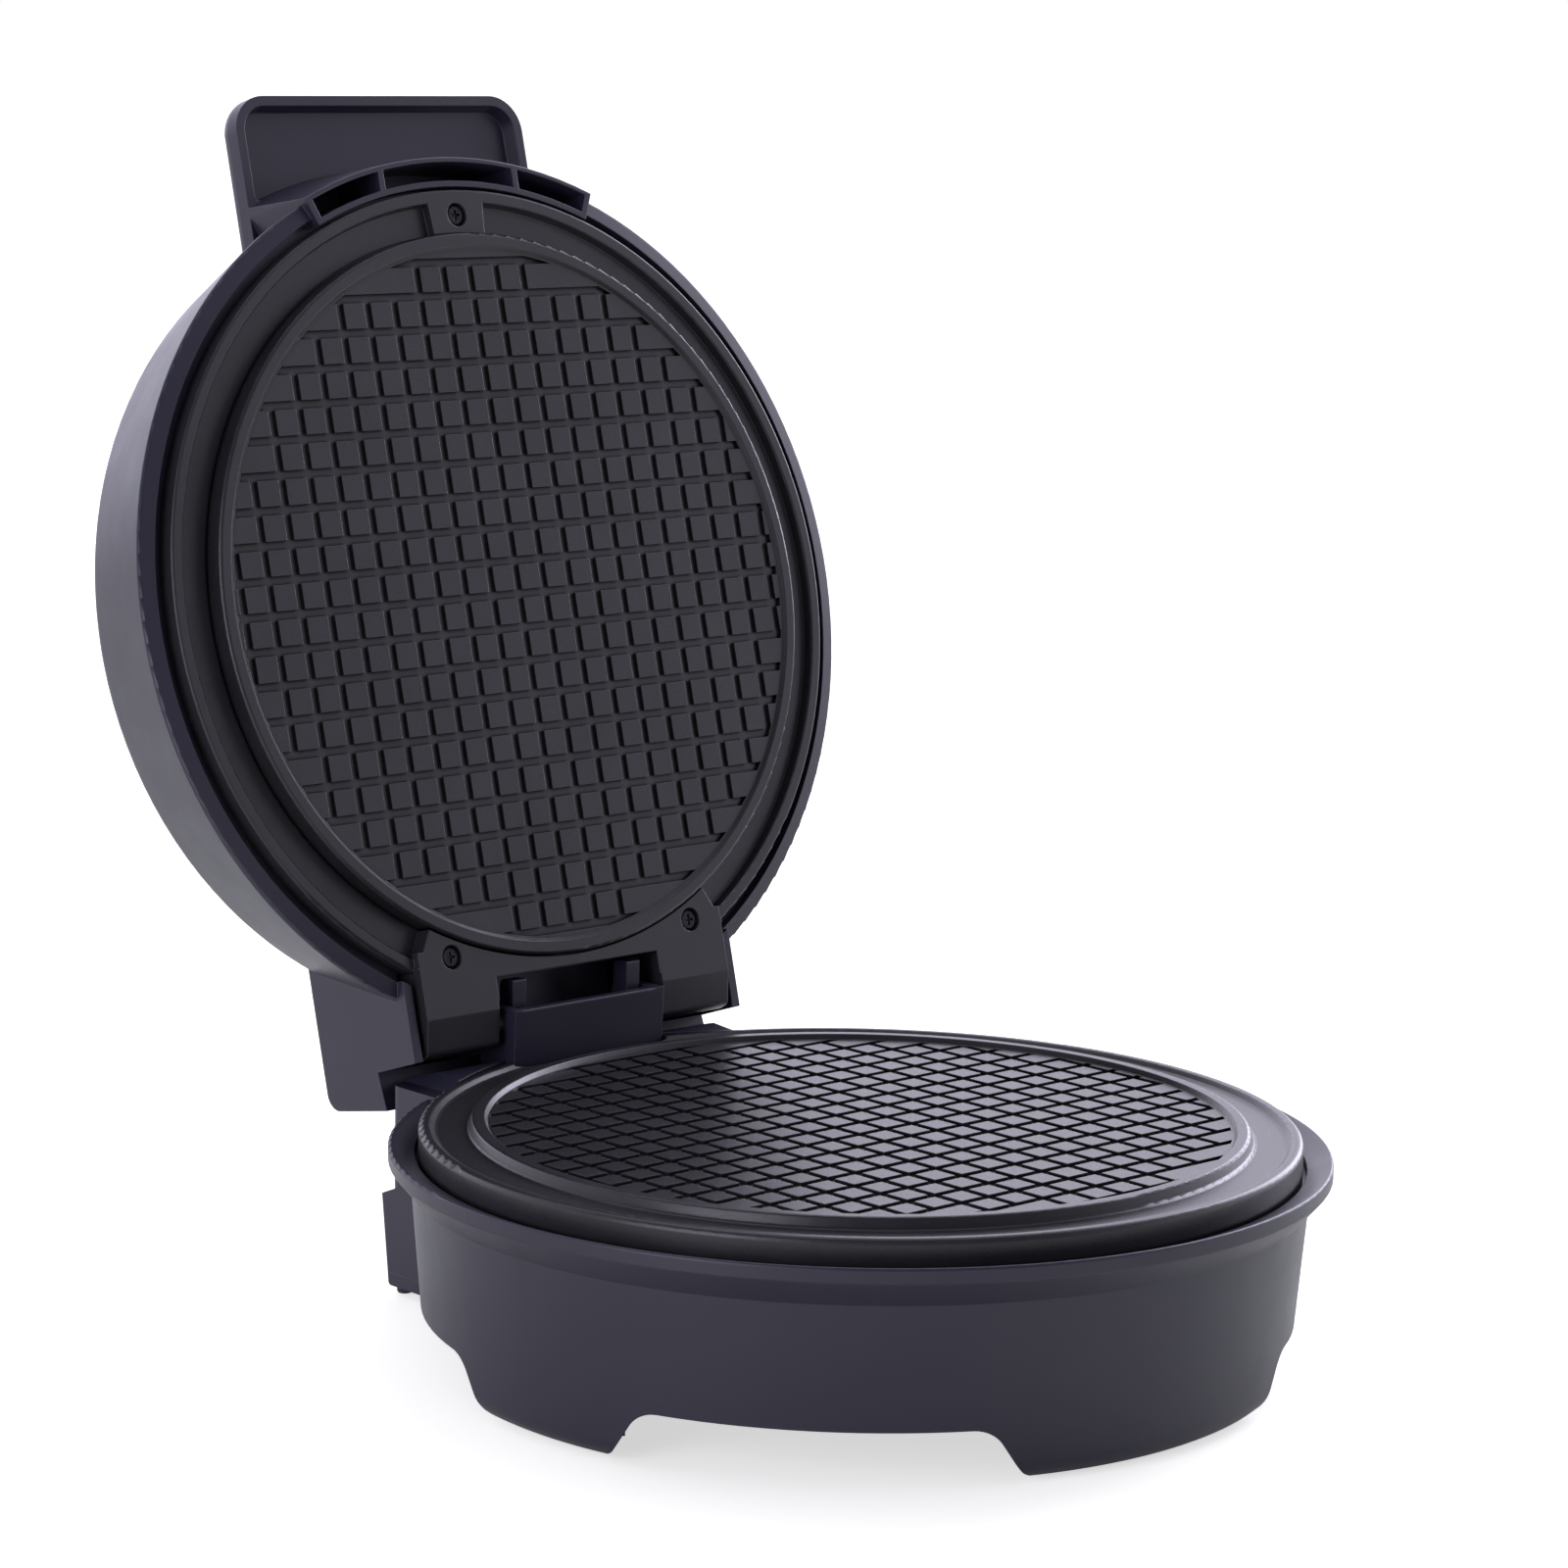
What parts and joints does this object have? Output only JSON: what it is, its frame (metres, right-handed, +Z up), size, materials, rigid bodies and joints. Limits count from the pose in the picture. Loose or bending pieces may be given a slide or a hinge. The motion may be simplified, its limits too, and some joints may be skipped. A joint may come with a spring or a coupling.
{
  "type": "waffle maker",
  "caption": "Round electric maker for thin cone waffles: footed base and hinged lid with grid-pattern plates, bezel, tray handle and rear hinge, standing open.",
  "frame": {"origin": "centre of the footprint of the open object's bounding box, on the surface it stands on", "axes": "+Z up, -Y to the front where the handle lands when closed, +X across, along the hinge axis"},
  "size_m": [0.2122, 0.2916, 0.2784],
  "materials": {
    "housing": "satin, anthracite with a plum cast",
    "bezel_plastic": "satin, charcoal",
    "under_plastic": "matt",
    "white_plastic": "matt",
    "soft_rubber": "matt",
    "plate_coating": "non-stick coated, fine grain",
    "black_steel": "black finish",
    "zinc_steel": "zinc plated",
    "heater_steel": "heat darkened",
    "shield_metal": "bright rolled sheet",
    "fuse_metal": "tinned",
    "lead_sleeve": "glass fibre sleeve",
    "red_lens": "clear tinted",
    "green_lens": "clear tinted",
    "lamp_glass": "clear"
  },
  "bodies": {
    "base": {"base_shell": "housing", "cord_gland": "soft_rubber", "bottom_cover": "under_plastic", "cover_screws": "black_steel", "rear_cap": "housing", "foot_pads": "soft_rubber", "lower_plate": "plate_coating", "lower_plate_screws": "zinc_steel", "lower_heater": "heater_steel", "lower_heat_shield": "shield_metal", "lower_shield_screws": "zinc_steel", "lower_thermostat": "zinc_steel", "thermal_fuse": "fuse_metal", "terminal_block": "white_plastic", "lower_lead": "lead_sleeve", "hinge_pin": "zinc_steel"},
    "lid": {"lid_shell": "housing", "lid_bezel": "bezel_plastic", "bezel_screws": "black_steel", "upper_plate": "plate_coating", "plate_clips": "zinc_steel", "upper_heater": "heater_steel", "upper_heat_shield": "shield_metal", "upper_shield_screws": "zinc_steel", "upper_thermostat": "zinc_steel", "upper_lead": "lead_sleeve", "power_lamp_lens": "red_lens", "ready_lamp_lens": "green_lens", "lamp_holder": "under_plastic", "neon_lamps": "lamp_glass"}
  },
  "joints": [
    {"name": "lid_hinge", "type": "hinge", "parent": "base", "child": "lid", "pos_m": [0, 0.06181, 0.0623], "axis": [1, 0, 0], "range_deg": [0, 104.6]}
  ]
}
